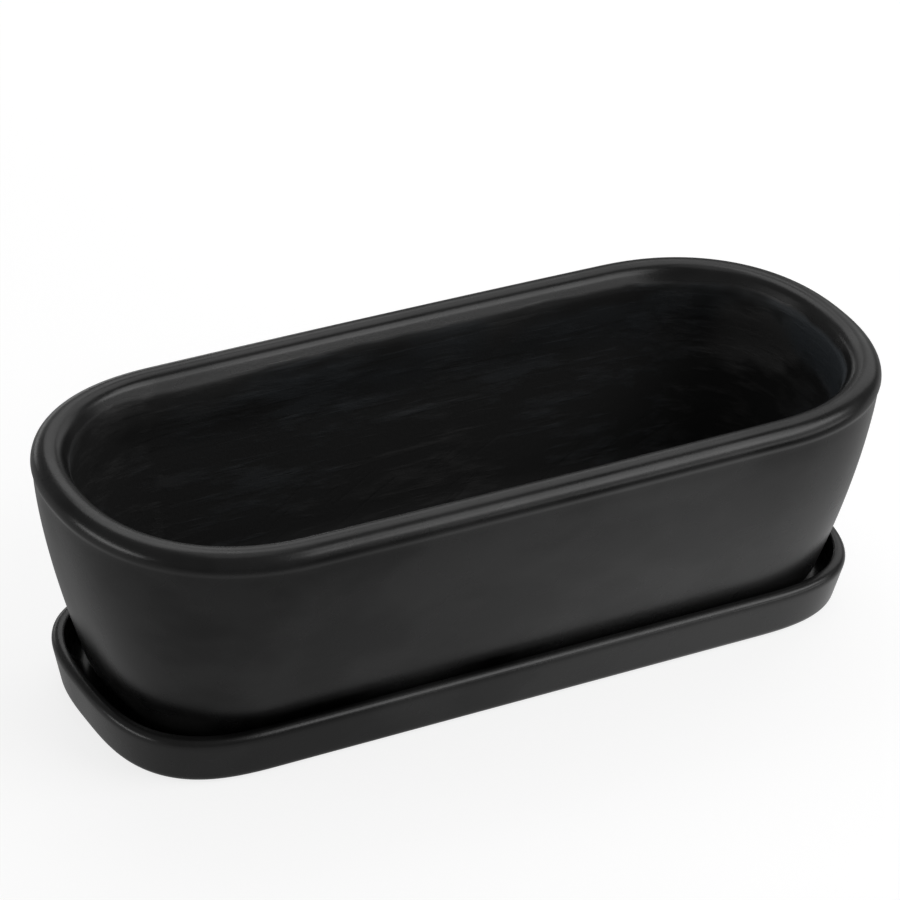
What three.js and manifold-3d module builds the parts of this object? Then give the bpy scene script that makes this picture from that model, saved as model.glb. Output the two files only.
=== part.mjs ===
// Oval planter: a long ceramic pot that stands in its own saucer, with a rubber stopper in each drain hole.
// Millimetres, +Z up. The origin is the middle of the saucer's underside, and X runs along the length.

import * as THREE from "three";
import { mergeVertices } from "three/addons/utils/BufferGeometryUtils.js";
import Module from "manifold-3d";

const wasm = await Module();
wasm.setup();

// Pot, outside
const potLength = 305;
const potWidth = 132;
const potHeight = 88.5;
const sideBow = 1.6; // how far the lip's long sides bow out at the middle
const rimSquareness = 2.25; // exponent of the lip's rounded ends, where 2 is a true ellipse
const potFootLength = 260; // plan of the wall carried down to the foot, before its corner is rounded
const potFootWidth = 87;
const footSquareness = 3;
const wallSwell = 1.37; // exponent of the wall's curve, where 1 is a straight wall
const footCornerRadius = 9;

// Pot, lip
const lipOuterRadius = 5.7;
const lipFlat = 0.5; // width of the flat between the lip's two roundings
const lipInnerRadius = 5;
const lipInsideLean = 27; // degrees by which the lip's inside leans inwards going down
const lipDepth = 6; // how far the thick lip reaches down inside
const lipSlope = 24; // height over which the inside slopes back from the lip to the thinner wall
const lipOverhang = 0.5; // how far the lip stands out from the wall below it
const lipUndercut = 2.4; // height of the soft hollow under the lip

// Pot, inside and underside
const wallThickness = 9;
const floorThickness = 9;
const insideCornerRadius = 14;
const footRingWidth = 6;
const footRecess = 2.5;
const recessDraft = 1;
const drainHoleDiameter = 12;
const drainHolePitch = 130;
const drainHoleSides = { left: -1, right: 1 }; // which way from the middle each one lies
const notchWidth = 10; // of the notches that let water out from under the foot ring
const cutterReach = 3; // how far a cutter stands out past the faces that it cuts

// Saucer
const saucerHeight = 18.7;
const saucerEndMargin = 4.6; // gaps between the pot's wall and the saucer's rim, at the ends and the sides
const saucerSideMargin = 1.3;
const saucerWall = 4.6;
const saucerFloor = 6;
const saucerFlare = 4; // how far the saucer's wall leans out from its foot to its rim
const saucerSquareness = 2.95;
const saucerEndRatio = 0.98; // length over half width of the saucer's rounded ends
const saucerFootRadius = 3;
const saucerRimOuterRadius = 3.3;
const saucerRimInnerRadius = 0.9;
const saucerInsideRadius = 4;
const saucerRingWidth = 9;
const saucerRecess = 1.2;

// Stoppers
const stopperClearance = 0.3; // between a stopper's stem and its hole
const stopperTaper = 0.7; // how much the stem's radius narrows to its tip
const stopperFlangeReach = 4; // how far the flange covers the floor round the hole
const stopperFlangeHeight = 2;
const stopperTipReach = 1.2; // how far the stem comes out below the floor
const stopperNeckRadius = 2.6;
const stopperNeckHeight = 3;
const stopperKnobRadius = 5;
const stopperKnobHeight = 4;

// Fineness of the meshes
const endSteps = 24;
const sideSteps = 8;
const wallSteps = 7;
const cornerSteps = 4;
const roundSides = 32;

const glaze = { color: 0x2c2c2e, roughness: 0.3, metalness: 0 };
const rubber = { color: 0x1b1b1c, roughness: 0.8, metalness: 0 };

function blend(from, to, share) {
  return from + (to - from) * share;
}

// A plan shape has straight sides and superelliptic ends, and its sides may bow out.
// Its points run counterclockwise, and one lies on each end and on the middle of each side.
function planPoints({ halfLength, halfWidth, squareness, endRatio, bow }) {
  const endLength = halfWidth * endRatio;
  const straight = halfLength - endLength;
  const points = [];
  for (const side of [1, -1]) {
    for (let step = 0; step <= endSteps; step++) {
      const angle = Math.PI * (step / endSteps - 0.5);
      const along = Math.max(Math.cos(angle), 0) ** (2 / squareness);
      const across = Math.sign(angle) * Math.abs(Math.sin(angle)) ** (2 / squareness);
      points.push([side * (straight + endLength * along), side * halfWidth * across]);
    }
    for (let step = 1; step < sideSteps; step++) {
      points.push([side * straight * (1 - (2 * step) / sideSteps), side * halfWidth]);
    }
  }
  return points.map(([x, y]) => [x, y + (bow * (1 - (x / halfLength) ** 2) * y) / halfWidth]);
}

// A station is a plan shape at a height, set in from its wall.
function station(shape, inset, z) {
  return { shape: { ...shape, halfLength: shape.halfLength - inset, halfWidth: shape.halfWidth - inset }, z };
}

// Stations round a corner, from its flat face to its wall. The callback gets each one's distance
// from the wall and from the flat face.
function corner(radius, place) {
  return Array.from({ length: cornerSteps + 1 }, (_, step) => {
    const angle = (Math.PI / 2) * (step / cornerSteps);
    return place(radius * (1 - Math.sin(angle)), radius * (1 - Math.cos(angle)));
  });
}

// A closed solid through stations that run from the middle of the underside outwards, up the
// outside, over the edge and down to the middle of the inside floor.
function loft(stations) {
  const rings = stations.map(({ shape, z }) => planPoints(shape).map(([x, y]) => [x, y, z]));
  const count = rings[0].length;
  const positions = rings.flat(2);
  positions.push(0, 0, stations[0].z);
  positions.push(0, 0, stations[stations.length - 1].z);
  const undersideMiddle = rings.length * count;
  const floorMiddle = undersideMiddle + 1;
  const lastRing = (rings.length - 1) * count;
  const indices = [];
  for (let step = 0; step < count; step++) {
    const next = (step + 1) % count;
    indices.push(undersideMiddle, next, step);
    indices.push(floorMiddle, lastRing + step, lastRing + next);
    for (let low = 0; low < lastRing; low += count) {
      const high = low + count;
      indices.push(low + step, low + next, high + next);
      indices.push(low + step, high + next, high + step);
    }
  }
  const geometry = new THREE.BufferGeometry();
  geometry.setAttribute("position", new THREE.Float32BufferAttribute(positions, 3));
  geometry.setIndex(indices);
  return geometry;
}

function toSolid(geometry) {
  const bare = geometry.clone();
  bare.deleteAttribute("normal");
  bare.deleteAttribute("uv");
  const merged = mergeVertices(bare);
  const vertProperties = new Float32Array(merged.attributes.position.array);
  const triVerts = new Uint32Array(merged.index.array);
  return new wasm.Manifold(new wasm.Mesh({ numProp: 3, vertProperties, triVerts }));
}

function toGeometry(solid) {
  const { vertProperties, triVerts } = solid.getMesh();
  const geometry = new THREE.BufferGeometry();
  geometry.setAttribute("position", new THREE.BufferAttribute(new Float32Array(vertProperties), 3));
  geometry.setIndex(new THREE.BufferAttribute(new Uint32Array(triVerts), 1));
  return geometry;
}

function makeMesh(name, geometry, finish) {
  geometry.computeVertexNormals();
  const mesh = new THREE.Mesh(geometry, new THREE.MeshStandardMaterial(finish));
  mesh.name = name;
  return mesh;
}

// The pot's outer wall at a height above the pot's own foot, with the lip's overhang left out
function potOutline(z) {
  const rise = Math.min(Math.max(z / (potHeight - lipOuterRadius), 0), 1);
  const taper = (1 - rise) ** wallSwell;
  return {
    halfLength: blend(potLength / 2, potFootLength / 2, taper),
    halfWidth: blend(potWidth / 2 - sideBow, potFootWidth / 2, taper),
    squareness: blend(rimSquareness, footSquareness, taper),
    endRatio: 1,
    bow: sideBow * rise,
  };
}

function potStation(inset, z) {
  return station(potOutline(z), inset, z);
}

function drainHoleX(side) {
  return (drainHoleSides[side] * drainHolePitch) / 2;
}

function potUndersideStations() {
  const ringInset = footCornerRadius + footRingWidth;
  return [
    potStation(ringInset + recessDraft, footRecess),
    potStation(ringInset, 0),
    ...corner(footCornerRadius, (inset, rise) => potStation(inset, rise)),
  ];
}

function potWallStations() {
  const top = potHeight - lipOuterRadius - lipUndercut;
  return Array.from({ length: wallSteps }, (_, step) => {
    const z = blend(footCornerRadius, top, (step + 1) / wallSteps);
    const share = (z - footCornerRadius) / (top - footCornerRadius);
    return potStation(lipOverhang * share, z);
  });
}

function potLipStations() {
  const outer = corner(lipOuterRadius, (inset, drop) => potStation(inset, potHeight - drop));
  const lean = THREE.MathUtils.degToRad(lipInsideLean);
  const inner = Array.from({ length: cornerSteps + 1 }, (_, step) => {
    const turn = (Math.PI / 2 - lean) * (step / cornerSteps);
    const inset = lipOuterRadius + lipFlat + lipInnerRadius * Math.sin(turn);
    return potStation(inset, potHeight - lipInnerRadius * (1 - Math.cos(turn)));
  });
  const slantDrop = lipDepth - lipInnerRadius * (1 - Math.sin(lean));
  const slantInset = lipOuterRadius + lipFlat + lipInnerRadius * Math.cos(lean) + slantDrop * Math.tan(lean);
  return [...outer.reverse(), ...inner, potStation(slantInset, potHeight - lipDepth)];
}

function potInsideStations() {
  const top = potHeight - lipDepth - lipSlope;
  const bottom = floorThickness + insideCornerRadius;
  const wall = Array.from({ length: wallSteps }, (_, step) => (
    potStation(wallThickness, blend(top, bottom, step / wallSteps))));
  const foot = corner(insideCornerRadius, (inset, rise) => (
    potStation(wallThickness + inset, floorThickness + rise)));
  return [...wall, ...foot.reverse()];
}

// The cutters are centred on the plane of the foot, so half of each is below the pot.
function makePot() {
  const radius = drainHoleDiameter / 2;
  let solid = toSolid(loft([
    ...potUndersideStations(), ...potWallStations(), ...potLipStations(), ...potInsideStations()]));
  for (const side of Object.keys(drainHoleSides)) {
    const hole = new THREE.CylinderGeometry(radius, radius, 2 * (floorThickness + cutterReach), roundSides);
    hole.rotateX(Math.PI / 2).translate(drainHoleX(side), 0, 0);
    const notch = new THREE.BoxGeometry(notchWidth, potWidth, 2 * footRecess);
    notch.translate(drainHoleX(side), 0, 0);
    solid = solid.subtract(toSolid(hole)).subtract(toSolid(notch));
  }
  return makeMesh("pot", toGeometry(solid), glaze);
}

// The saucer's outer wall at a height: it clears the pot by its margins at the rim, and leans in below
function saucerOutline(z) {
  const pot = potOutline(saucerHeight - saucerFloor);
  const reach = saucerWall - saucerFlare * (1 - z / saucerHeight);
  return {
    halfLength: pot.halfLength + saucerEndMargin + reach,
    halfWidth: pot.halfWidth + saucerSideMargin + reach,
    squareness: saucerSquareness,
    endRatio: saucerEndRatio,
    bow: 0,
  };
}

function saucerStation(inset, z) {
  return station(saucerOutline(z), inset, z);
}

function makeSaucer() {
  const ringInset = saucerFootRadius + saucerRingWidth;
  return makeMesh("saucer", loft([
    saucerStation(ringInset + recessDraft, saucerRecess),
    saucerStation(ringInset, 0),
    ...corner(saucerFootRadius, (inset, rise) => saucerStation(inset, rise)),
    ...corner(saucerRimOuterRadius, (inset, drop) => saucerStation(inset, saucerHeight - drop)).reverse(),
    ...corner(saucerRimInnerRadius, (inset, drop) => saucerStation(saucerWall - inset, saucerHeight - drop)),
    ...corner(saucerInsideRadius, (inset, rise) => saucerStation(saucerWall + inset, saucerFloor + rise)).reverse(),
  ]), glaze);
}

// A stopper turned round its own axis, with its flange's underside at height 0
function makeStopper(name) {
  const stemRadius = drainHoleDiameter / 2 - stopperClearance;
  const tip = footRecess - floorThickness - stopperTipReach;
  const neckTop = stopperFlangeHeight + stopperNeckHeight;
  const flangeRadius = drainHoleDiameter / 2 + stopperFlangeReach;
  const profile = [
    [0, tip],
    [stemRadius - stopperTaper, tip],
    [stemRadius, 0],
    [flangeRadius, 0],
    [flangeRadius, stopperFlangeHeight / 2],
    [flangeRadius - stopperFlangeHeight / 2, stopperFlangeHeight],
    [stopperNeckRadius, stopperFlangeHeight],
    [stopperNeckRadius, neckTop],
    [stopperKnobRadius, neckTop + stopperKnobHeight / 3],
    [stopperKnobRadius, neckTop + (2 * stopperKnobHeight) / 3],
    [stopperNeckRadius, neckTop + stopperKnobHeight],
    [0, neckTop + stopperKnobHeight],
  ];
  const turned = new THREE.LatheGeometry(profile.map(([x, y]) => new THREE.Vector2(x, y)), roundSides);
  return makeMesh(name, toGeometry(toSolid(turned.rotateX(Math.PI / 2))), rubber);
}

const group = new THREE.Group();
group.name = "oval_planter";
group.add(makeSaucer());

const potGroup = new THREE.Group();
potGroup.position.z = saucerFloor;
potGroup.add(makePot());
for (const side of Object.keys(drainHoleSides)) {
  const stopper = makeStopper(`drain_stopper_${side}`);
  stopper.position.set(drainHoleX(side), 0, floorThickness);
  potGroup.add(stopper);
}
group.add(potGroup);

export default group;
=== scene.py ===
"""Looks of a long oval planter: a satin black glazed pot, its saucer and two rubber drain stoppers.

Everything is in metres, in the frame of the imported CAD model: +Z up, X along the length, and the
origin in the middle of the saucer's underside. The pieces' sizes are kept in millimetres, as a
potter writes them, and turned into metres where the points are made. The pieces are surfaces worked
out with numpy.
"""

import logging
import math
from dataclasses import dataclass, field
from enum import Enum

import bpy
import numpy as np
from mathutils import Matrix, Vector

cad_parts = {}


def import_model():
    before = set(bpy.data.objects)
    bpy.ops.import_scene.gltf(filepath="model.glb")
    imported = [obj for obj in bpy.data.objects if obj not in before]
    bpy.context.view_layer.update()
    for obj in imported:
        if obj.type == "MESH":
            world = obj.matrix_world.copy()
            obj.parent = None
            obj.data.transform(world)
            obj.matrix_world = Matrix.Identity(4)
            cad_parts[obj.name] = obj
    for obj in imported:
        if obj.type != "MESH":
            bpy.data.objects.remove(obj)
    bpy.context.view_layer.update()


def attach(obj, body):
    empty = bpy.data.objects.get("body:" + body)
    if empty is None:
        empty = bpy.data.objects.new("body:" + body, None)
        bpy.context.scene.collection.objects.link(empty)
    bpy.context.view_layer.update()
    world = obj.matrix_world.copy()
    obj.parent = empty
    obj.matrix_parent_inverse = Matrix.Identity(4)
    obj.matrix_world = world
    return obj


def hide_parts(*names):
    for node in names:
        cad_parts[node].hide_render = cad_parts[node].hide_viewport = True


LOG = logging.getLogger("planter")
MM = 0.001
SWEEP_MAP = "sweep"

Colour = tuple[float, float, float, float]


class Slot(Enum):
    """The record's material slots."""

    GLAZE = "black_glaze"
    RUBBER = "black_rubber"


class Ease(Enum):
    """Ways of going from one value to another."""

    EVEN = "even"
    SOFT = "soft"


def between(start: float, end: float, steps: int, ease: Ease = Ease.EVEN) -> np.ndarray:
    """Values from start to end, both included.

    Args:
        start: The first value.
        end: The last value.
        steps: How many steps lie between them.
        ease: EVEN spaces the values evenly, and SOFT eases them in and out as 3 t^2 - 2 t^3.

    Returns:
        One value for each of the steps + 1 places.
    """
    share = np.linspace(0.0, 1.0, steps + 1)
    if ease is Ease.SOFT:
        share = share * share * (3.0 - 2.0 * share)
    return start + (end - start) * share


def quarter_round(radius: float, steps: int) -> tuple[np.ndarray, np.ndarray]:
    """A quarter round between a flat face and a wall.

    The distances are r (1 - sin t) from the wall and r (1 - cos t) from the flat face, for t
    from nought to a right angle, so the line leaves the flat face and ends on the wall.

    Args:
        radius: The round's radius r.
        steps: How many steps it takes.

    Returns:
        The distances from the wall, and those from the flat face.
    """
    turn = np.linspace(0.0, math.pi / 2.0, steps + 1)
    return radius * (1.0 - np.sin(turn)), radius * (1.0 - np.cos(turn))


def rounded_line(corners: np.ndarray, cuts: np.ndarray, steps: int) -> np.ndarray:
    """A line through corners that are rounded off.

    At each corner c the line leaves the segment before it at a, a cut short of the corner, and
    joins the one after it at b. Between them it follows (1 - t)^2 a + 2 t (1 - t) c + t^2 b.

    Args:
        corners: The corners, two numbers each.
        cuts: How far from each corner its round starts. The first and the last have none.
        steps: Steps round each corner.

    Returns:
        The line's points, with its two ends as they are.
    """
    ways = np.diff(corners, axis=0)
    ways = ways / np.linalg.norm(ways, axis=1)[:, None]
    inner = corners[1:-1]
    start = inner - ways[:-1] * cuts[1:-1, None]
    end = inner + ways[1:] * cuts[1:-1, None]
    share = np.linspace(0.0, 1.0, steps + 1)[None, :, None]
    rounds = ((1 - share) ** 2 * start[:, None] + 2 * share * (1 - share) * inner[:, None]
              + share ** 2 * end[:, None])
    return np.concatenate([corners[:1], rounds.reshape(-1, 2), corners[-1:]])


@dataclass(frozen=True)
class Profile:
    """A line of stations across a vessel's wall, in millimetres.

    Each station is set in from the vessel's outline by its inset, at its height above the foot.
    """

    insets: np.ndarray = field(default_factory=lambda: np.empty(0))
    heights: np.ndarray = field(default_factory=lambda: np.empty(0))

    def add(self, insets: np.ndarray | float, heights: np.ndarray | float) -> "Profile":
        """The profile with more stations at its end.

        Args:
            insets: Insets of the new stations.
            heights: Heights of the new stations.

        Returns:
            The longer profile.
        """
        more = np.broadcast_arrays(np.atleast_1d(insets), np.atleast_1d(heights))
        return Profile(np.append(self.insets, more[0]), np.append(self.heights, more[1]))


def foot_ring(ring_inset: float, edge_round: float, recess: float, draft: float,
              steps: int) -> Profile:
    """Stations from the underside's recess down to the foot ring, round the ring's inner edge.

    Args:
        ring_inset: Inset of the ring's inner edge.
        edge_round: Radius of that edge.
        recess: Height of the recess above the foot.
        draft: How much further in the recess's edge lies than the ring's.
        steps: Steps round the edge.

    Returns:
        The profile.
    """
    inset, rise = quarter_round(edge_round, steps)
    line = Profile().add(ring_inset + draft, recess)
    return line.add(ring_inset - edge_round + inset[::-1], rise[::-1])


@dataclass(frozen=True)
class Outline:
    """Plan shapes of a vessel at its stations, in millimetres.

    A field that is the same at every station may be a single number.
    """

    half_length: np.ndarray
    half_width: np.ndarray
    squareness: np.ndarray | float
    end_ratio: float
    bow: np.ndarray | float


def loop_places(end_steps: int, side_steps: int) -> tuple[np.ndarray, np.ndarray]:
    """The places of the points round a long plan shape, counterclockwise from the front's middle.

    Args:
        end_steps: Steps round each rounded end.
        side_steps: Steps along each straight side, an even number.

    Returns:
        For each point the direction in which it lies from the centre of its end, and how far along
        the straight side that centre is, from -1 at the left to 1 at the right.
    """
    half_side = side_steps // 2
    right_end = np.linspace(-math.pi / 2.0, math.pi / 2.0, end_steps + 1)
    front = np.full(half_side, -math.pi / 2.0)
    back = np.full(side_steps - 1, math.pi / 2.0)
    directions = np.concatenate([front, right_end, back, right_end + math.pi, front[1:]])
    along = np.concatenate([
        np.arange(half_side) / half_side,
        np.ones(end_steps + 1),
        1.0 - 2.0 * np.arange(1, side_steps) / side_steps,
        -np.ones(end_steps + 1),
        np.arange(1, half_side) / half_side - 1.0])
    return directions, along


def sweep_outline(outline: Outline, line: Profile, end_steps: int, side_steps: int) -> np.ndarray:
    """A vessel's surface: its outline at each station, set in by the inset there.

    A point of an end lies in the direction t from the end's centre, at (e r cos t, b r sin t)
    with r = (|cos t|^p + |sin t|^p)^(-1/p), where b is the half width, e the end's length and p
    its squareness. A straight side joins the ends, and with the half length a the sides bow out by
    w (1 - (x / a)^2) y / b.

    Args:
        outline: The plan shapes at the stations.
        line: The stations.
        end_steps: Steps round each rounded end.
        side_steps: Steps along each straight side.

    Returns:
        Points in metres, as an array of stations by points by three.
    """
    directions, along = loop_places(end_steps, side_steps)
    insets = line.insets[:, None]
    half_length = outline.half_length[:, None] - insets
    half_width = outline.half_width[:, None] - insets
    power = np.broadcast_to(outline.squareness, line.insets.shape)[:, None]
    bow = np.broadcast_to(outline.bow, line.insets.shape)[:, None]
    end_length = half_width * outline.end_ratio
    cosine, sine = np.cos(directions), np.sin(directions)
    reach = (np.abs(cosine) ** power + np.abs(sine) ** power) ** (-1.0 / power)
    x = along * (half_length - end_length) + end_length * reach * cosine
    y = half_width * reach * sine
    y = y + bow * (1.0 - (x / half_length) ** 2) * y / half_width
    z = np.broadcast_to(line.heights[:, None], x.shape)
    return np.stack([x, y, z], axis=-1) * MM


def turn_profile(line: np.ndarray, steps: int) -> np.ndarray:
    """A turned surface: each point (r, z) of the line goes round to (r cos t, r sin t, z).

    Args:
        line: Radius and height of each station, in millimetres.
        steps: Steps round the axis.

    Returns:
        Points in metres, as an array of stations by points by three.
    """
    turn = np.arange(steps) * (2.0 * math.pi / steps)
    radius = line[:, :1]
    return np.stack([radius * np.cos(turn), radius * np.sin(turn),
                     np.broadcast_to(line[:, 1:], (len(line), steps))], axis=-1) * MM


@dataclass(frozen=True)
class Surface:
    """A closed surface ready for a mesh: points, faces, and a sweep map at each face corner.

    The sweep map's first value is the share of the way round the piece, and its second is the
    distance along the profile in metres, which is nought at a chosen station.
    """

    points: np.ndarray
    quads: np.ndarray
    fans: np.ndarray
    quad_map: np.ndarray
    fan_map: np.ndarray

    def to_mesh(self, name: str) -> bpy.types.Mesh:
        """The surface as a mesh with the sweep map.

        Args:
            name: The mesh's name.

        Returns:
            The mesh.
        """
        mesh = bpy.data.meshes.new(name)
        corners = np.concatenate([self.quads.ravel(), self.fans.ravel()])
        sizes = np.concatenate([np.full(len(self.quads), 4), np.full(len(self.fans), 3)])
        starts = np.cumsum(sizes) - sizes
        mesh.vertices.add(len(self.points))
        mesh.vertices.foreach_set("co", self.points.astype(np.float32).ravel())
        mesh.loops.add(len(corners))
        mesh.loops.foreach_set("vertex_index", corners.astype(np.int32))
        mesh.polygons.add(len(sizes))
        mesh.polygons.foreach_set("loop_start", starts.astype(np.int32))
        mesh.update(calc_edges=True)
        sweep = mesh.uv_layers.new(name=SWEEP_MAP)
        places = np.concatenate([self.quad_map.reshape(-1, 2), self.fan_map.reshape(-1, 2)])
        sweep.uv.foreach_set("vector", places.astype(np.float32).ravel())
        return mesh


def fan_map(here: np.ndarray, there: np.ndarray, ring: float, middle: float) -> np.ndarray:
    """The sweep map of a fan of triangles, each from the middle to two neighbours on the ring.

    Args:
        here: Share of the way round of each triangle's second corner.
        there: That of its third corner.
        ring: Distance along the profile at the ring.
        middle: Distance along the profile at the middle.

    Returns:
        The map, as an array of triangles by corners by two.
    """
    across = np.stack([(here + there) / 2.0, here, there], axis=-1)
    along = np.broadcast_to([middle, ring, ring], across.shape)
    return np.stack([across, along], axis=-1)


def close_sweep(rings: np.ndarray, zero_station: int = 0) -> Surface:
    """A closed surface through rings, with a fan of triangles in the first and in the last one.

    Each quad joins a point and the next one of a ring with the same two of the next ring. The
    rings run counterclockwise seen from the side that the outside's stations go towards.

    Args:
        rings: Points as an array of stations by points by three.
        zero_station: The station where the sweep map's distance is nought.

    Returns:
        The surface, with its faces outwards.
    """
    stations, count = rings.shape[:2]
    middles = rings[[0, -1]].mean(axis=1)
    points = np.concatenate([rings.reshape(-1, 3), middles])
    step = np.arange(count)
    following = (step + 1) % count
    low = (np.arange(stations - 1) * count)[:, None]
    high = low + count
    quads = np.stack([low + step, low + following, high + following, high + step], axis=-1)
    last = (stations - 1) * count
    middle = np.full(count, stations * count)
    fans = np.concatenate([np.stack([middle, following, step], axis=-1),
                           np.stack([middle + 1, last + step, last + following], axis=-1)])

    reach = np.append(0.0, np.cumsum(np.linalg.norm(np.diff(rings[:, 0], axis=0), axis=1)))
    reach = reach - reach[zero_station]
    inward = np.linalg.norm(rings[[0, -1], 0] - middles, axis=1)
    here, there = step / count, (step + 1) / count
    across = np.stack([here, there, there, here], axis=-1)[None, :, :]
    along = np.stack([reach[:-1], reach[:-1], reach[1:], reach[1:]], axis=-1)[:, None, :]
    quad_map = np.stack(np.broadcast_arrays(across, along), axis=-1)
    fans_map = np.concatenate([fan_map(there, here, reach[0], reach[0] - inward[0]),
                               fan_map(here, there, reach[-1], reach[-1] + inward[1])])
    return Surface(points, quads.reshape(-1, 4), fans, quad_map, fans_map)


def new_piece(name: str, surface: Surface) -> bpy.types.Object:
    """A new object at the origin, with its place in its mesh.

    Args:
        name: The object's name.
        surface: Its surface.

    Returns:
        The object.
    """
    piece = bpy.data.objects.new(name, surface.to_mesh(name))
    bpy.context.scene.collection.objects.link(piece)
    return piece


def cut(piece: bpy.types.Object, cutters: list[bpy.types.Object]) -> None:
    """Takes the cutters out of a piece, and removes them from the scene.

    Args:
        piece: The piece, whose mesh is replaced by the cut one.
        cutters: Closed pieces that are only used to cut.
    """
    for cutter in cutters:
        modifier = piece.modifiers.new(cutter.name, "BOOLEAN")
        modifier.operation = "DIFFERENCE"
        modifier.solver = "EXACT"
        modifier.object = cutter
    graph = bpy.context.evaluated_depsgraph_get()
    whole = piece.data
    piece.data = bpy.data.meshes.new_from_object(
        piece.evaluated_get(graph), preserve_all_data_layers=True, depsgraph=graph)
    piece.modifiers.clear()
    name = whole.name
    bpy.data.meshes.remove(whole)
    piece.data.name = name
    for cutter in cutters:
        bpy.data.meshes.remove(cutter.data)


def dress(piece: bpy.types.Object, material: bpy.types.Material, crease: float) -> None:
    """Gives a piece its material and smooth faces, with edges past a crease angle left sharp.

    Args:
        piece: The piece.
        material: Its material.
        crease: The angle in degrees.
    """
    mesh = piece.data
    mesh.materials.clear()
    mesh.materials.append(material)
    mesh.polygons.foreach_set("material_index", np.zeros(len(mesh.polygons), dtype=np.int32))
    mesh.polygons.foreach_set("use_smooth", np.ones(len(mesh.polygons), dtype=bool))
    mesh.set_sharp_from_angle(angle=math.radians(crease))


class NodeBoard:
    """A node tree, with short ways to add nodes and join them."""

    def __init__(self, tree: bpy.types.NodeTree) -> None:
        """Starts from an emptied tree."""
        self.tree = tree
        tree.nodes.clear()

    def add(self, kind: str, inputs: dict | None = None, **settings: object) -> bpy.types.Node:
        """A new node.

        Args:
            kind: The node's type.
            inputs: What goes into its sockets, by name or number: values, or other nodes' sockets.
            settings: The node's own settings.

        Returns:
            The node.
        """
        node = self.tree.nodes.new(kind)
        for name, value in settings.items():
            setattr(node, name, value)
        for name, value in (inputs or {}).items():
            if isinstance(value, bpy.types.NodeSocket):
                self.tree.links.new(value, node.inputs[name])
            else:
                node.inputs[name].default_value = value
        return node

    def math(self, operation: str, *values: object) -> bpy.types.NodeSocket:
        """The result of a Math node on numbers or sockets."""
        return self.add("ShaderNodeMath", dict(enumerate(values)), operation=operation).outputs[0]

    def times(self, first: object, second: object) -> bpy.types.NodeSocket:
        """The product of two numbers or sockets."""
        return self.math("MULTIPLY", first, second)

    def total(self, *values: object) -> bpy.types.NodeSocket:
        """The sum of numbers or sockets."""
        result = values[0]
        for value in values[1:]:
            result = self.math("ADD", result, value)
        return result

    def noise(self, place: bpy.types.NodeSocket, scale: float, detail: float = 2.0,
              roughness: float = 0.5) -> bpy.types.NodeSocket:
        """A cloudy noise from 0 to 1, with so many clouds to a metre."""
        inputs = {"Vector": place, "Scale": scale, "Detail": detail, "Roughness": roughness}
        return self.add("ShaderNodeTexNoise", inputs).outputs["Fac"]

    def stretch(self, place: bpy.types.NodeSocket,
                scale: tuple[float, float, float]) -> bpy.types.NodeSocket:
        """A place scaled along its three axes."""
        return self.add("ShaderNodeMapping", {"Vector": place, "Scale": scale}).outputs["Vector"]

    def parts(self, place: bpy.types.NodeSocket) -> tuple[bpy.types.NodeSocket, ...]:
        """The X, Y and Z of a place."""
        return tuple(self.add("ShaderNodeSeparateXYZ", {0: place}).outputs)

    def join(self, x: object, y: object, z: object) -> bpy.types.NodeSocket:
        """The place with these X, Y and Z."""
        return self.add("ShaderNodeCombineXYZ", {0: x, 1: y, 2: z}).outputs["Vector"]

    def spread(self, value: bpy.types.NodeSocket, low: float, high: float, start: float = 0.0,
               end: float = 1.0) -> bpy.types.NodeSocket:
        """A value eased from start at low to end at high, and kept there outside them."""
        inputs = {"Value": value, "From Min": low, "From Max": high, "To Min": start, "To Max": end}
        return self.add("ShaderNodeMapRange", inputs, interpolation_type="SMOOTHSTEP").outputs[0]

    def mix(self, share: object, first: object, second: object) -> bpy.types.NodeSocket:
        """A number between two numbers."""
        inputs = {0: share, 2: first, 3: second}
        return self.add("ShaderNodeMix", inputs, data_type="FLOAT").outputs[0]

    def tint(self, share: object, first: object, second: object) -> bpy.types.NodeSocket:
        """A colour between two colours."""
        inputs = {0: share, 6: first, 7: second}
        return self.add("ShaderNodeMix", inputs, data_type="RGBA").outputs[2]

    def blend(self, share: bpy.types.NodeSocket, first: bpy.types.Node,
              second: bpy.types.Node) -> bpy.types.Node:
        """A shader between two shaders."""
        inputs = {0: share, 1: first.outputs[0], 2: second.outputs[0]}
        return self.add("ShaderNodeMixShader", inputs)


def new_material(name: str) -> tuple[bpy.types.Material, NodeBoard]:
    """A new node material, and its empty board.

    Args:
        name: The material's name.

    Returns:
        The material and the board.
    """
    material = bpy.data.materials.new(name)
    material.use_nodes = True
    return material, NodeBoard(material.node_tree)


def grey(level: float, warmth: float = 0.0) -> Colour:
    """A grey, made warmer or cooler by a share of its level."""
    return (level * (1.0 + warmth), level, level * (1.0 - warmth), 1.0)


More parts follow.
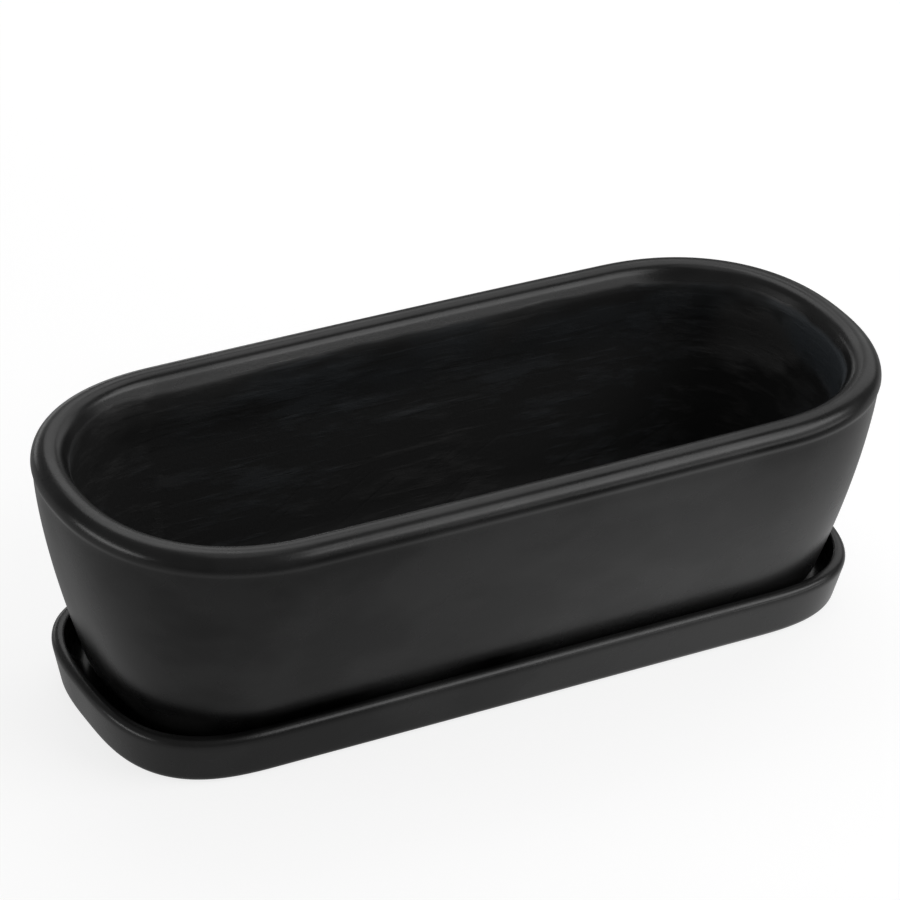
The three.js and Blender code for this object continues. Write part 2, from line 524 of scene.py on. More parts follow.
@dataclass
class Coat:
    """What a surface has at each place: its colour, its roughness, and its height for the bump."""

    colour: bpy.types.NodeSocket
    roughness: bpy.types.NodeSocket
    height: bpy.types.NodeSocket

    def under(self, board: NodeBoard, share: bpy.types.NodeSocket, other: "Coat") -> "Coat":
        """This coat where the share is nought, and the other one where it is one."""
        return Coat(board.tint(share, self.colour, other.colour),
                    board.mix(share, self.roughness, other.roughness),
                    board.mix(share, self.height, other.height))

    def shade(self, board: NodeBoard, settings: dict[str, float] | None = None) -> None:
        """Joins the coat to the material's shader.

        Args:
            board: The material's nodes.
            settings: The shader's own settings that are the same all over.
        """
        bump = board.add("ShaderNodeBump", {"Height": self.height, "Distance": 1.0})
        inputs = {"Base Color": self.colour, "Roughness": self.roughness, "Normal": bump.outputs[0]}
        shader = board.add("ShaderNodeBsdfPrincipled", inputs | (settings or {}))
        board.add("ShaderNodeOutputMaterial", {"Surface": shader.outputs["BSDF"]})


@dataclass(frozen=True)
class Mark:
    """One kind of brush mark or cloud: how many to a metre along and across, and its strength.

    It is a noise that is nought below low and has its full weight above high.
    """

    along: float
    across: float
    low: float
    high: float
    weight: float = 1.0
    detail: float = 3.0
    roughness: float = 0.6

    def tone(self, board: NodeBoard, place: bpy.types.NodeSocket) -> bpy.types.NodeSocket:
        """What the mark adds to the tone.

        Args:
            board: The material's nodes.
            place: Place on the surface, with the marks lying along its X and Y and across its Z.

        Returns:
            The addition at each place.
        """
        stretched = board.stretch(place, (self.along, self.along, self.across))
        marks = board.noise(stretched, 1.0, self.detail, self.roughness)
        return board.spread(marks, self.low, self.high, 0.0, self.weight)


@dataclass(frozen=True)
class Grain:
    """An even noise: how many clouds to a metre, its detail and roughness, and where it eases.

    Eased, it has its first value below low and its last one above high.
    """

    scale: float
    detail: float = 2.0
    roughness: float = 0.5
    low: float = 0.3
    high: float = 0.7

    def level(self, board: NodeBoard, place: bpy.types.NodeSocket) -> bpy.types.NodeSocket:
        """The noise, from 0 to 1."""
        return board.noise(place, self.scale, self.detail, self.roughness)

    def eased(self, board: NodeBoard, place: bpy.types.NodeSocket, first: float = 0.0,
              last: float = 1.0) -> bpy.types.NodeSocket:
        """The noise, eased from its first value to its last one."""
        return board.spread(self.level(board, place), self.low, self.high, first, last)


@dataclass(frozen=True)
class GlazeFinish:
    """Satin black glaze on a dark clay body. Its sizes are in metres.

    A vessel is bare on the foot ring that it was fired on. Where bare_from is given, it is also
    bare inside from that far below its lip, and there the clay is brushed with matt black slip.
    Its light patches are a random mottle. They show faintly everywhere, and strongly as painted
    light just below the glaze and at the right end, where the inside is lit.

    A pair of tones or of roughnesses goes from the darkest place to the lightest, or from the
    smoothest to the roughest. cool and warm are the warmth of the slip's two hues, at its darkest
    and at its lightest. slip_heights are those of the dashes, mottle, slants and grain.
    painted_light_below_lip and slants_from are depths below the lip, and painted_light_right_end
    lies along X. In these two places the light patches are painted light.
    """

    name: str
    foot_height: float = 0.0
    bare_from: float | None = None

    glaze_tones: tuple[float, float] = (0.001, 0.014)
    glaze_clouds: Mark = Mark(16.0, 26.0, 0.38, 0.62)
    glaze_roughness: tuple[float, float] = (0.24, 0.30)
    gloss: Grain = Grain(38.0, 3.0)
    peel: Grain = Grain(700.0, 1.0)
    peel_height: float = 0.02 * MM
    swell: Grain = Grain(26.0, 1.0)
    swell_height: float = 0.12 * MM

    slip_tones: tuple[float, float] = (0.0005, 0.045)
    slip_roughness: tuple[float, float] = (0.78, 0.62)
    slip_heights: tuple[float, ...] = (0.3 * MM, 0.5 * MM, 0.5 * MM, 0.06 * MM)
    cool: tuple[float, float] = (-0.08, -0.16)
    warm: tuple[float, float] = (0.02, 0.01)
    hue: Grain = Grain(16.0, low=0.42, high=0.58)
    patches: Mark = Mark(14.0, 30.0, 0.42, 0.58)
    mottle: Mark = Mark(42.0, 120.0, 0.48, 0.68, 0.24, 5.0)
    dashes: Mark = Mark(42.0, 330.0, 0.53, 0.73, 0.26)
    scratches: Mark = Mark(36.0, 520.0, 0.56, 0.68, -0.14)
    slants: Mark = Mark(26.0, 300.0, 0.55, 0.68, -0.16)
    slip_grain: Grain = Grain(600.0, roughness=0.6)
    loop_radius: float = 110.0 * MM
    patch_shift: tuple[float, float, float] = (0.61, -0.01, 0.76)
    slant_slope: float = 0.5
    slants_from: tuple[float, float] = (0.045, 0.060)
    # Painted light: the light patches show most in a band just below the lip and at the right end,
    # where the inside is lit.
    painted_light_below_lip: tuple[float, float] = (0.012, 0.042)
    painted_light_right_end: tuple[float, float] = (0.118, 0.140)
    patches_everywhere: float = 0.02
    painted_light_at_lip: float = 0.28
    painted_light_at_right_end: float = 1.30
    edge: Grain = Grain(32.0, low=0.2, high=0.8)
    edge_width: float = 2.0 * MM
    edge_wander: float = 1.2 * MM

    clay_tones: tuple[float, float] = (0.0375, 0.065)
    clay_warmth: tuple[float, float] = (0.06, 0.08)
    clay_roughness: tuple[float, float] = (0.8, 0.9)
    clay_height: float = 0.08 * MM
    speckle: Grain = Grain(1500.0, roughness=0.7)
    foot_edge: Grain = Grain(120.0, 3.0, low=0.2, high=0.8)
    foot_wander: float = 0.4 * MM
    foot_bare: float = 0.4 * MM
    foot_edge_width: float = 0.3 * MM

    def make(self) -> bpy.types.Material:
        """The finish as a node material.

        Returns:
            The material.
        """
        material, board = new_material(self.name)
        place = board.add("ShaderNodeTexCoord").outputs["Object"]
        coat = self._glaze(board, place)
        if self.bare_from is not None:
            coat = self._brush_inside(board, place, coat)
        self._bare_foot(board, place, coat).shade(board)
        return material

    def _glaze(self, board: NodeBoard, place: bpy.types.NodeSocket) -> Coat:
        """The glaze: faint clouds in its colour and gloss, a slow swell and a very fine peel.

        Args:
            board: The material's nodes.
            place: Place on the piece.

        Returns:
            The coat.
        """
        dark, light = self.glaze_tones
        colour = board.tint(self.glaze_clouds.tone(board, place), grey(dark), grey(light))
        roughness = self.gloss.eased(board, place, *self.glaze_roughness)
        peel = board.times(self.peel.level(board, place), self.peel_height)
        swell = board.times(self.swell.level(board, place), self.swell_height)
        return Coat(colour, roughness, board.total(peel, swell))

    def _brush_inside(self, board: NodeBoard, place: bpy.types.NodeSocket, glaze: Coat) -> Coat:
        """Brushed slip on the inside, from the sweep map.

        The share u of the way round becomes a circle, so the strokes close without a seam: with
        the depth v below the lip, a mark's place is (R cos 2 pi u, R sin 2 pi u, v). Low down the
        strokes slant, so there a mark's place is (x, 0, v + s x) with the slope s. Light patches
        show faintly everywhere, and strongly as painted light just below the lip and at the right
        end, where the inside is lit. All the other marks show everywhere.

        Args:
            board: The material's nodes.
            place: Place on the piece.
            glaze: The coat above the glaze's edge.

        Returns:
            The glaze with the slip below its edge.
        """
        sweep = board.add("ShaderNodeUVMap", uv_map=SWEEP_MAP).outputs["UV"]
        share, depth, _ = board.parts(sweep)
        turn = board.times(share, 2.0 * math.pi)
        east = board.times(board.math("COSINE", turn), self.loop_radius)
        north = board.times(board.math("SINE", turn), self.loop_radius)
        wall = board.join(east, north, depth)
        length = board.parts(place)[0]
        slanted = board.total(depth, board.times(length, self.slant_slope))
        low_wall = board.join(length, 0.0, slanted)

        dashes = self.dashes.tone(board, wall)
        mottle = self.mottle.tone(board, wall)
        low_down = board.spread(depth, *self.slants_from)
        slants = board.times(self.slants.tone(board, low_wall), low_down)
        # Painted light: the light patches are strongest just below the lip and at the right end,
        # where the inside is lit, and faint elsewhere.
        patches_and_painted_light = board.total(self.patches_everywhere,
                           board.spread(depth, *self.painted_light_below_lip, self.painted_light_at_lip, 0.0),
                           board.spread(length, *self.painted_light_right_end, 0.0, self.painted_light_at_right_end))
        moved = board.add("ShaderNodeVectorMath", {0: wall, 1: self.patch_shift}, operation="ADD")
        patches = board.times(patches_and_painted_light, self.patches.tone(board, moved.outputs["Vector"]))
        tone = board.total(patches, mottle, dashes, slants, self.scratches.tone(board, wall))

        dark, light = self.slip_tones
        cool, warm = (board.tint(tone, grey(dark, at_dark), grey(light, at_light))
                      for at_dark, at_light in (self.cool, self.warm))
        colour = board.tint(self.hue.eased(board, place), cool, warm)
        roughness = board.spread(tone, 0.0, 1.0, *self.slip_roughness)
        reliefs = (dashes, mottle, slants, self.slip_grain.level(board, place))
        height = board.total(*map(board.times, reliefs, self.slip_heights))

        wander = self.edge.eased(board, wall, -self.edge_wander, self.edge_wander)
        below_lip = board.total(depth, wander)
        bare = board.spread(below_lip, self.bare_from, self.bare_from + self.edge_width)
        return glaze.under(board, bare, Coat(colour, roughness, height))

    def _bare_foot(self, board: NodeBoard, place: bpy.types.NodeSocket, coat: Coat) -> Coat:
        """Bare clay on the lowest part of the foot ring.

        Args:
            board: The material's nodes.
            place: Place on the piece.
            coat: The coat above the foot.

        Returns:
            The coat with the bare foot below it.
        """
        height = board.parts(place)[2]
        wander = self.foot_edge.eased(board, place, 0.0, self.foot_wander)
        low = self.foot_height + self.foot_bare
        bare = board.spread(board.total(height, wander), low, low + self.foot_edge_width, 1.0, 0.0)
        speckle = self.speckle.level(board, place)
        colour = board.tint(speckle, *map(grey, self.clay_tones, self.clay_warmth))
        roughness = board.spread(speckle, self.speckle.low, self.speckle.high, *self.clay_roughness)
        rise = board.times(speckle, self.clay_height)
        return coat.under(board, bare, Coat(colour, roughness, rise))


@dataclass(frozen=True)
class RubberFinish:
    """Moulded black rubber, matt, with a fine grain and a little dust."""

    name: str = "stopper_rubber"
    clean: float = 0.012
    dusty: float = 0.030
    dust_warmth: float = 0.03
    dust: Grain = Grain(260.0, 4.0, 0.6, 0.45, 0.8)
    gloss: Grain = Grain(400.0)
    roughness: tuple[float, float] = (0.64, 0.82)
    grain: Grain = Grain(2400.0, roughness=0.6)
    grain_height: float = 0.03 * MM
    sheen: float = 0.15
    sheen_roughness: float = 0.5

    def make(self) -> bpy.types.Material:
        """The finish as a node material.

        Returns:
            The material.
        """
        material, board = new_material(self.name)
        place = board.add("ShaderNodeTexCoord").outputs["Object"]
        dust = self.dust.eased(board, place)
        colour = board.tint(dust, grey(self.clean), grey(self.dusty, self.dust_warmth))
        roughness = self.gloss.eased(board, place, *self.roughness)
        height = board.times(self.grain.level(board, place), self.grain_height)
        sheen = {"Sheen Weight": self.sheen, "Sheen Roughness": self.sheen_roughness}
        Coat(colour, roughness, height).shade(board, sheen)
        return material


@dataclass(frozen=True)
class Pot:
    """The ceramic pot. Its sizes are in millimetres, and its heights are above its own foot.

    glaze_inside is how far the glaze runs down inside from the lip's top, measured along the wall.
    The fields that end in steps say how finely each part of the profile is divided.
    """

    length: float = 305.0
    width: float = 132.0
    height: float = 88.5
    side_bow: float = 1.6
    rim_squareness: float = 2.25
    foot_length: float = 260.0
    foot_width: float = 87.0
    foot_squareness: float = 3.0
    wall_swell: float = 1.37
    foot_radius: float = 9.0
    lip_outer_radius: float = 5.7
    lip_flat: float = 0.5
    lip_inner_radius: float = 5.0
    lip_inside_lean: float = 27.0
    lip_depth: float = 6.0
    lip_foot_radius: float = 4.0
    lip_slope: float = 24.0
    lip_overhang: float = 0.5
    lip_undercut: float = 2.4
    wall_thickness: float = 9.0
    floor_thickness: float = 9.0
    inside_radius: float = 14.0
    ring_width: float = 6.0
    ring_round: float = 0.8
    foot_recess: float = 2.5
    recess_draft: float = 1.0
    hole_diameter: float = 12.0
    hole_mouth: float = 1.0
    hole_pitch: float = 130.0
    notch_width: float = 10.0
    notch_height: float = 2.3
    notch_squareness: float = 5.0
    cutter_reach: float = 3.0
    stands_at: float = 6.0
    glaze_inside: float = 7.7
    crease: float = 40.0
    end_steps: int = 96
    side_steps: int = 56
    ring_steps: int = 5
    foot_steps: int = 18
    wall_steps: int = 34
    overhang_steps: int = 6
    lip_steps: int = 22
    lip_inside_steps: int = 19
    lip_slant_steps: int = 5
    lip_foot_steps: int = 6
    slope_steps: int = 12
    inner_wall_steps: int = 22
    inside_steps: int = 16
    mouth_steps: int = 6
    drill_steps: int = 64
    notch_steps: int = 48

    def outline(self, heights: np.ndarray) -> Outline:
        """Plan shapes of the outer wall, which widens from foot to rim.

        Every size goes from its rim value to its foot value by (1 - h)^swell, where h is the share
        of the height.

        Args:
            heights: Heights above the foot.

        Returns:
            The outline at each height.
        """
        rise = np.clip(heights / (self.height - self.lip_outer_radius), 0.0, 1.0)
        taper = (1.0 - rise) ** self.wall_swell
        rim_half, foot_half = self.width / 2.0 - self.side_bow, self.foot_width / 2.0
        return Outline(
            half_length=self.length / 2.0 + (self.foot_length - self.length) / 2.0 * taper,
            half_width=rim_half + (foot_half - rim_half) * taper,
            squareness=self.rim_squareness + (self.foot_squareness - self.rim_squareness) * taper,
            end_ratio=1.0,
            bow=self.side_bow * rise)

    def outside(self) -> Profile:
        """Stations from the underside's recess over the foot ring and up to the lip's top.

        Returns:
            The profile, which ends where the lip's top turns down inside.
        """
        line = foot_ring(self.foot_radius + self.ring_width, self.ring_round, self.foot_recess,
                         self.recess_draft, self.ring_steps)
        inset, rise = quarter_round(self.foot_radius, self.foot_steps)
        line = line.add(inset, rise)
        lip_foot = self.height - self.lip_outer_radius
        wall_top = lip_foot - self.lip_undercut
        heights = between(self.foot_radius, wall_top, self.wall_steps)[1:]
        share = (heights - self.foot_radius) / (wall_top - self.foot_radius)
        line = line.add(self.lip_overhang * share, heights)
        line = line.add(between(self.lip_overhang, 0.0, self.overhang_steps, Ease.SOFT)[1:-1],
                        between(wall_top, lip_foot, self.overhang_steps)[1:-1])
        inset, drop = quarter_round(self.lip_outer_radius, self.lip_steps)
        return line.add(inset[::-1], self.height - drop[::-1])

    def inside(self) -> Profile:
        """Stations from the lip's top down inside to the edge of the flat floor.

        Returns:
            The profile.
        """
        lean = math.radians(self.lip_inside_lean)
        upright = math.pi / 2.0
        turn = np.linspace(0.0, upright - lean, self.lip_inside_steps + 1)
        inset = self.lip_outer_radius + self.lip_flat + self.lip_inner_radius * np.sin(turn)
        height = self.height - self.lip_inner_radius * (1.0 - np.cos(turn))
        line = Profile().add(inset, height)
        lip_bottom = self.height - self.lip_depth
        slant = between(height[-1], lip_bottom, self.lip_slant_steps)[1:]
        line = line.add(inset[-1] + (height[-1] - slant) * math.tan(lean), slant)
        turn = np.linspace(upright - lean, upright, self.lip_foot_steps + 1)[1:]
        inset = line.insets[-1] + self.lip_foot_radius * (np.sin(turn) - math.cos(lean))
        height = lip_bottom - self.lip_foot_radius * (math.sin(lean) - np.cos(turn))
        line = line.add(inset, height)
        slope_bottom = lip_bottom - self.lip_slope
        line = line.add(between(inset[-1], self.wall_thickness, self.slope_steps, Ease.SOFT)[1:],
                        between(height[-1], slope_bottom, self.slope_steps)[1:])
        wall_bottom = self.floor_thickness + self.inside_radius
        line = line.add(self.wall_thickness,
                        between(slope_bottom, wall_bottom, self.inner_wall_steps)[1:])
        inset, rise = quarter_round(self.inside_radius, self.inside_steps)
        inset, rise = inset[::-1][1:], rise[::-1][1:]
        return line.add(self.wall_thickness + inset, self.floor_thickness + rise)

    def cutters(self) -> list[bpy.types.Object]:
        """A drill for each drain hole, with a soft mouth below, and a notch through the foot ring.

        The notch's section is a rounded oblong, (a r sin t, b r cos t) with r as in a plan's ends.

        Returns:
            One drill and one notch for each hole.
        """
        radius = self.hole_diameter / 2.0
        inset, rise = quarter_round(self.hole_mouth, self.mouth_steps)
        drill = np.concatenate([
            [[radius + self.hole_mouth, self.foot_recess - self.cutter_reach]],
            np.stack([radius + inset, self.foot_recess + rise], axis=-1),
            [[radius, self.floor_thickness + self.cutter_reach]]])
        drill = turn_profile(drill, self.drill_steps)
        turn = np.linspace(0.0, 2.0 * math.pi, self.notch_steps, endpoint=False)
        power = self.notch_squareness
        reach = (np.abs(np.cos(turn)) ** power + np.abs(np.sin(turn)) ** power) ** (-1.0 / power)
        ends = np.array([-self.width, self.width])[:, None]
        notch = np.stack(np.broadcast_arrays(self.notch_width / 2.0 * reach * np.sin(turn), ends,
                                             self.notch_height * reach * np.cos(turn)), axis=-1)
        made = []
        for side in (-1, 1):
            place = np.array([side * self.hole_pitch / 2.0, 0.0, self.stands_at]) * MM
            made.append(new_piece(f"drill_{len(made)}", close_sweep(drill + place)))
            made.append(new_piece(f"notch_{len(made)}", close_sweep(notch * MM + place)))
        return made

    def make(self, finish: GlazeFinish) -> bpy.types.Object:
        """The pot in its place on the saucer.

        Args:
            finish: Its finish.

        Returns:
            The piece.
        """
        outside, inside = self.outside(), self.inside()
        line = outside.add(inside.insets, inside.heights)
        rings = sweep_outline(self.outline(line.heights), line, self.end_steps, self.side_steps)
        rings[..., 2] += self.stands_at * MM
        piece = new_piece("pot_body", close_sweep(rings, len(outside.insets)))
        cut(piece, self.cutters())
        dress(piece, finish.make(), self.crease)
        return piece


@dataclass(frozen=True)
class Saucer:
    """The ceramic saucer. Its sizes are in millimetres, and its heights are above the table."""

    height: float = 18.7
    end_margin: float = 4.6
    side_margin: float = 1.3
    wall: float = 4.6
    floor: float = 6.0
    flare: float = 4.0
    squareness: float = 2.95
    end_ratio: float = 0.98
    foot_radius: float = 3.0
    rim_outer_radius: float = 3.3
    rim_inner_radius: float = 0.9
    inside_radius: float = 4.0
    ring_width: float = 9.0
    ring_round: float = 0.6
    recess: float = 1.2
    recess_draft: float = 1.0
    crease: float = 40.0
    end_steps: int = 96
    side_steps: int = 56
    ring_steps: int = 5
    foot_steps: int = 10
    wall_steps: int = 8
    rim_steps: int = 10
    rim_inner_steps: int = 8
    inner_wall_steps: int = 5
    inside_steps: int = 10

    def outline(self, pot: Pot, heights: np.ndarray) -> Outline:
        """Plan shapes of the outer wall, which clears the pot at the rim and leans in below it.

        Args:
            pot: The pot that stands in the saucer.
            heights: Heights above the table.

        Returns:
            The outline at each height.
        """
        at_rim = pot.outline(np.array([self.height - self.floor]))
        reach = self.wall - self.flare * (1.0 - heights / self.height)
        return Outline(
            half_length=at_rim.half_length + self.end_margin + reach,
            half_width=at_rim.half_width + self.side_margin + reach,
            squareness=self.squareness,
            end_ratio=self.end_ratio,
            bow=0.0)

    def outside(self) -> Profile:
        """Stations from the underside's recess over the foot ring and up to the rim's top.

        Returns:
            The profile, which ends on the flat of the rim.
        """
        line = foot_ring(self.foot_radius + self.ring_width, self.ring_round, self.recess,
                         self.recess_draft, self.ring_steps)
        inset, rise = quarter_round(self.foot_radius, self.foot_steps)
        line = line.add(inset, rise)
        wall_top = self.height - self.rim_outer_radius
        line = line.add(0.0, between(self.foot_radius, wall_top, self.wall_steps)[1:-1])
        inset, drop = quarter_round(self.rim_outer_radius, self.rim_steps)
        return line.add(inset[::-1], self.height - drop[::-1])

    def inside(self) -> Profile:
        """Stations from the flat of the rim down inside to the edge of the flat floor.

        Returns:
            The profile.
        """
        inset, drop = quarter_round(self.rim_inner_radius, self.rim_inner_steps)
        line = Profile().add(self.wall - inset, self.height - drop)
        top, bottom = self.height - self.rim_inner_radius, self.floor + self.inside_radius
        line = line.add(self.wall, between(top, bottom, self.inner_wall_steps)[1:-1])
        inset, rise = quarter_round(self.inside_radius, self.inside_steps)
        return line.add(self.wall + inset[::-1], self.floor + rise[::-1])

    def make(self, pot: Pot, finish: GlazeFinish) -> bpy.types.Object:
        """The saucer in its place.

        Args:
            pot: The pot that stands in the saucer.
            finish: Its finish.

        Returns:
            The piece.
        """
        outside, inside = self.outside(), self.inside()
        line = outside.add(inside.insets, inside.heights)
        outline = self.outline(pot, line.heights)
        rings = sweep_outline(outline, line, self.end_steps, self.side_steps)
        piece = new_piece("saucer_body", close_sweep(rings, len(outside.insets)))
        dress(piece, finish.make(), self.crease)
        return piece


@dataclass(frozen=True)
class Stopper:
    """A rubber drain stopper. Its sizes are in millimetres, and its heights are above its seat.

    Its stem tapers towards the tip, with a groove cut in round it, and its knob has a dimple.
    groove_places are the groove's corners, as shares of the way from the seat to the tip.
    """

    clearance: float = 0.3
    taper: float = 0.7
    tip_reach: float = 1.2
    tip_flat: float = 1.0
    groove_depth: float = 0.5
    groove_places: tuple[float, ...] = (0.66, 0.62, 0.56, 0.52)
    neck_in: float = 0.2
    flange_reach: float = 4.0
    flange_height: float = 2.0
    flange_edge: float = 1.1
    flange_slope: float = 1.6
    neck_radius: float = 2.6
    neck_height: float = 3.0
    knob_radius: float = 5.0
    knob_height: float = 4.0
    knob_lift: float = 0.8
    dimple_radii: tuple[float, float, float] = (1.8, 1.2, 0.3)
    dimple_depth: float = 0.5
    crease: float = 50.0
    round_steps: int = 5
    steps: int = 72

    def line(self, pot: Pot) -> np.ndarray:
        """The turned line from the stem's tip to the knob's top.

        Args:
            pot: The pot whose drain hole the stopper closes.

        Returns:
            Radius and height of each station.
        """
        hole = pot.hole_diameter / 2.0
        stem = hole - self.clearance
        tip = pot.foot_recess - pot.floor_thickness - self.tip_reach
        flange = hole + self.flange_reach
        neck_top = self.flange_height + self.neck_height
        top = neck_top + self.knob_height
        places = np.array(self.groove_places)
        depths = self.groove_depth * np.array([0.0, 1.0, 1.0, 0.0])
        groove_cuts = np.array([0.2, 0.15, 0.15, 0.2])
        groove = np.stack([stem - self.taper * places - depths, tip * places, groove_cuts], axis=-1)
        dimple_rim, dimple_edge, dimple_middle = self.dimple_radii
        # Each row is a corner's radius and height, and how far from it its round starts.
        corners = np.array([
            [self.tip_flat, tip, 0.0],
            [stem - self.taper, tip, 0.5],
            *groove,
            [stem, -self.neck_in, 0.05],
            [stem, 0.0, 0.05],
            [flange, 0.0, 0.4],
            [flange, self.flange_edge, 0.5],
            [flange - self.flange_slope, self.flange_height, 0.5],
            [self.neck_radius, self.flange_height, 0.9],
            [self.neck_radius, neck_top, 0.7],
            [self.knob_radius, neck_top + self.knob_lift, 0.9],
            [self.knob_radius, top, 1.6],
            [dimple_rim, top, 0.2],
            [dimple_edge, top - self.dimple_depth, 0.2],
            [dimple_middle, top - self.dimple_depth, 0.0]])
        return rounded_line(corners[:, :2], corners[:, 2], self.round_steps)

    def make(self, name: str, pot: Pot, side: int,
             material: bpy.types.Material) -> bpy.types.Object:
        """A stopper in its place in one drain hole.

        Args:
            name: The piece's name.
            pot: The pot whose drain hole it closes.
            side: -1 for the left hole and 1 for the right one.
            material: Its material.

        Returns:
            The piece.
        """
        seat = pot.stands_at + pot.floor_thickness
        place = np.array([side * pot.hole_pitch / 2.0, 0.0, seat]) * MM
        piece = new_piece(name, close_sweep(turn_profile(self.line(pot), self.steps) + place))
        dress(piece, material, self.crease)
        return piece


def direction(azimuth: float, elevation: float) -> Vector:
    """The unit vector from the object towards a place round it.

    Args:
        azimuth: Degrees round the object: nought is in front, at -Y, and 90 is at +X.
        elevation: Degrees above the horizon.

    Returns:
        The vector.
    """
    turn, lift = math.radians(azimuth), math.radians(elevation)
    aside = math.cos(lift)
    return Vector((math.sin(turn) * aside, -math.cos(turn) * aside, math.sin(lift)))


@dataclass(frozen=True)
class Softbox:
    """A soft lamp that faces the object. Its sizes are in metres, and its radiance is 1 for white.

    The camera doesn't see it, and the glaze mirrors it.
    """

    name: str
    azimuth: float
    elevation: float
    width: float
    height: float
    radiance: float
    distance: float = 1.2

    def make(self, aim: Vector) -> None:
        """The lamp in its place.

        Args:
            aim: The point that it faces.
        """
        lamp = bpy.data.lights.new(self.name, "AREA")
        lamp.shape = "RECTANGLE"
        lamp.size, lamp.size_y = self.width, self.height
        lamp.energy = self.radiance * math.pi * self.width * self.height
        towards = direction(self.azimuth, self.elevation)
        holder = bpy.data.objects.new(self.name, lamp)
        holder.location = aim + towards * self.distance
        holder.rotation_euler = towards.to_track_quat("Z", "Y").to_euler()
        holder.visible_camera = False
        bpy.context.scene.collection.objects.link(holder)


@dataclass(frozen=True)
class Viewpoint:
    """The photograph's camera: where it stands, and where the aim lands in a 900 by 900 picture."""

    azimuth: float = -29.854
    elevation: float = 30.783
    roll: float = 2.771
    distance: float = 1.5366
    lens: float = 179.49
    aim_column: float = 460.96
    aim_row: float = 508.03
    picture: float = 900.0
    sensor: float = 36.0

    def make(self, aim: Vector) -> None:
        """The camera in its place, as the scene's camera.

        Args:
            aim: The point that lands at the aim's column and row.
        """
        back = direction(self.azimuth, self.elevation)
        turn, roll = math.radians(self.azimuth), math.radians(self.roll)
        level = Vector((math.cos(turn), math.sin(turn), 0.0))
        upright = back.cross(level)
        right = math.cos(roll) * level + math.sin(roll) * upright
        up = math.cos(roll) * upright - math.sin(roll) * level
        pixel = self.distance * self.sensor / (self.lens * self.picture)
        aside = (self.aim_column - self.picture / 2.0) * pixel
        above = (self.picture / 2.0 - self.aim_row) * pixel
        lens = bpy.data.cameras.new("photo_camera")
        lens.lens, lens.sensor_width = self.lens, self.sensor
        camera = bpy.data.objects.new("photo_camera", lens)
        place = aim + back * self.distance - right * aside - up * above
        turned = Matrix((right, up, back)).transposed().to_4x4()
        camera.matrix_world = Matrix.Translation(place) @ turned
        bpy.context.scene.collection.objects.link(camera)
        bpy.context.scene.camera = camera


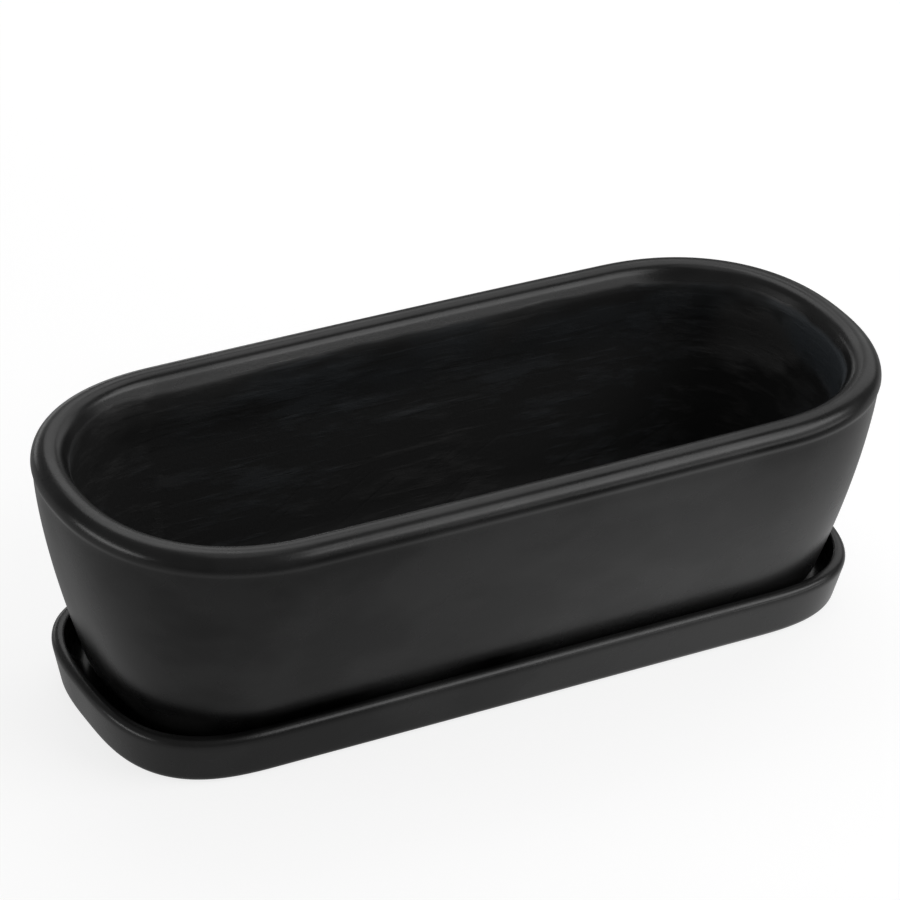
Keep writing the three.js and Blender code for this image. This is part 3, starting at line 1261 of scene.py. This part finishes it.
@dataclass(frozen=True)
class Studio:
    """The plain floor, the soft lamps, the dim room round them, and the camera.

    The sizes are in metres. The floor and the room are white to the camera, and the floor keeps
    the object's shadow. What the glaze mirrors of them is dimmer: an even grey room, and a glow on
    the floor that brightens from left to right, and fades past the right end, in front and behind.

    floor_colour is what the floor gives to its surroundings, and floor_seen what the camera sees
    lit by the lamps. The lift adds what is missing to white, more of it far away, where the lamps
    don't reach. Each pair of places is where a change of the lift or the glow starts and ends.
    """

    aim: tuple[float, float, float] = (0.0, 0.0, 0.05)
    floor_reach: float = 4.0
    floor_depth: float = 0.5 * MM
    floor_steps: int = 96
    floor_colour: float = 0.8
    floor_seen: float = 0.35
    near_lift: float = 0.8
    far_lift: float = 0.95
    near_to_far: tuple[float, float] = (0.35, 1.4)
    left_glow: float = 0.33
    right_glow: float = 0.66
    beyond_glow: float = 0.42
    front_glow: float = 0.13
    back_glow: float = 0.28
    left_to_right: tuple[float, float] = (-0.08, 0.12)
    right_to_beyond: tuple[float, float] = (0.12, 0.22)
    front_to_middle: tuple[float, float] = (-0.32, -0.07)
    middle_to_back: tuple[float, float] = (0.04, 0.20)
    room: float = 0.16
    softboxes: tuple[Softbox, ...] = (
        Softbox("key", 45.0, 34.0, 1.04, 0.32, 2.80),
        Softbox("key_top", 45.0, 50.0, 0.61, 0.32, 2.00),
        Softbox("key_low", 45.0, 18.0, 1.20, 0.30, 0.58),
        Softbox("front_low", 45.0, 4.0, 0.94, 0.22, 1.46),
        Softbox("right", 120.0, 26.0, 0.65, 0.62, 0.64),
        Softbox("right_top", 128.0, 58.0, 0.60, 0.62, 0.95),
        Softbox("back", 160.0, 34.0, 0.70, 0.32, 0.95),
        Softbox("back_top", 180.0, 58.0, 0.56, 0.62, 1.30),
        Softbox("back_low", 180.0, 4.0, 0.94, 0.22, 1.00),
        Softbox("left_low", 262.0, 9.0, 0.90, 0.26, 2.70),
        Softbox("top", 45.0, 90.0, 0.56, 0.56, 0.47),
    )

    def make(self) -> None:
        """Builds the floor, lamps, room and camera."""
        bpy.context.scene.view_settings.view_transform = "Standard"
        self._lay_floor()
        self._fill_room()
        for softbox in self.softboxes:
            softbox.make(Vector(self.aim))
        Viewpoint().make(Vector(self.aim))

    def _lay_floor(self) -> None:
        """A round pale floor that the camera sees as white, with the object's shadow on it.

        Seen from below it lets the view through, so that the underside can be looked at.
        """
        reach = self.floor_reach / MM
        rim = np.array([[reach, -self.floor_depth / MM], [reach, 0.0]])
        floor = new_piece("floor", close_sweep(turn_profile(rim, self.floor_steps)))
        floor.data.materials.append(self._floor_material())

    def _floor_material(self) -> bpy.types.Material:
        """The floor's material: painted and lifted to white, glowing in what the glaze mirrors.

        Returns:
            The material.
        """
        material, board = new_material("floor_white")
        place = board.add("ShaderNodeTexCoord").outputs["Object"]
        rays = board.add("ShaderNodeLightPath").outputs
        seen = board.math("MAXIMUM", rays["Is Camera Ray"], rays["Is Transmission Ray"])
        colour = board.tint(seen, grey(self.floor_colour), grey(self.floor_seen))
        paint = board.add("ShaderNodeBsdfDiffuse", {"Color": colour})
        away = board.add("ShaderNodeVectorMath", {0: place}, operation="LENGTH").outputs["Value"]
        missing = board.spread(away, *self.near_to_far, self.near_lift, self.far_lift)
        lift = board.add("ShaderNodeEmission", {"Strength": board.times(seen, missing)})
        lit = board.add("ShaderNodeAddShader", {0: paint.outputs[0], 1: lift.outputs[0]})
        mirrored = board.add("ShaderNodeEmission", {"Strength": self._glow(board, place)})
        above = board.blend(rays["Is Glossy Ray"], lit, mirrored)
        normal = board.add("ShaderNodeNewGeometry").outputs["True Normal"]
        below = board.math("LESS_THAN", board.parts(normal)[2], 0.0)
        shown = board.blend(below, above, board.add("ShaderNodeBsdfTransparent"))
        board.add("ShaderNodeOutputMaterial", {"Surface": shown.outputs[0]})
        return material

    def _glow(self, board: NodeBoard, place: bpy.types.NodeSocket) -> bpy.types.NodeSocket:
        """What the glaze mirrors of the floor, which changes across it and from front to back.

        Args:
            board: The floor's nodes.
            place: Place on the floor.

        Returns:
            The glow's strength.
        """
        x, y, _ = board.parts(place)
        rising = board.spread(x, *self.left_to_right, self.left_glow, self.right_glow)
        middle = board.mix(board.spread(x, *self.right_to_beyond), rising, self.beyond_glow)
        further = board.mix(board.spread(y, *self.middle_to_back), middle, self.back_glow)
        return board.mix(board.spread(y, *self.front_to_middle), self.front_glow, further)

    def _fill_room(self) -> None:
        """The room: white for the camera, and dim for all that it lights and is mirrored in."""
        world = bpy.data.worlds.new("room")
        world.use_nodes = True
        board = NodeBoard(world.node_tree)
        rays = board.add("ShaderNodeLightPath").outputs
        seen = board.math("MAXIMUM", rays["Is Camera Ray"], rays["Is Transmission Ray"])
        strength = board.mix(seen, self.room, 1.0)
        light = board.add("ShaderNodeBackground", {"Color": grey(1.0), "Strength": strength})
        board.add("ShaderNodeOutputWorld", {"Surface": light.outputs[0]})
        bpy.context.scene.world = world


@dataclass(frozen=True)
class Planter:
    """The whole set: the pot in its saucer, with a stopper in each drain hole."""

    pot: Pot = field(default_factory=Pot)
    saucer: Saucer = field(default_factory=Saucer)
    stopper: Stopper = field(default_factory=Stopper)

    def make(self) -> None:
        """Builds the pieces and ties each one to its body and its CAD node."""
        saucer_finish = GlazeFinish("saucer_glaze")
        pot_finish = GlazeFinish("pot_glaze", foot_height=self.pot.stands_at * MM,
                                 bare_from=self.pot.glaze_inside * MM)
        self._seat(self.saucer.make(self.pot, saucer_finish), "saucer")
        self._seat(self.pot.make(pot_finish), "pot")
        rubber = RubberFinish().make()
        for name, side in (("left", -1), ("right", 1)):
            piece = self.stopper.make(f"stopper_{name}", self.pot, side, rubber)
            self._seat(piece, f"drain_stopper_{name}")

    def _seat(self, piece: bpy.types.Object, node: str) -> None:
        """Ties a piece to its CAD node, whose body has the same name, and reports it.

        Args:
            piece: The piece.
            node: The CAD node, and the body.
        """
        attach(piece, node)
        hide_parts(node)
        size = ", ".join(f"{side / MM:.1f}" for side in piece.dimensions)
        LOG.info("%s: %d faces, %s mm", piece.name, len(piece.data.polygons), size)


def main() -> None:
    """Loads the frame and builds the planter and the studio."""
    logging.basicConfig(level=logging.INFO, format="%(name)s: %(message)s")
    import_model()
    Planter().make()
    Studio().make()


if __name__ == "__main__":
    main()
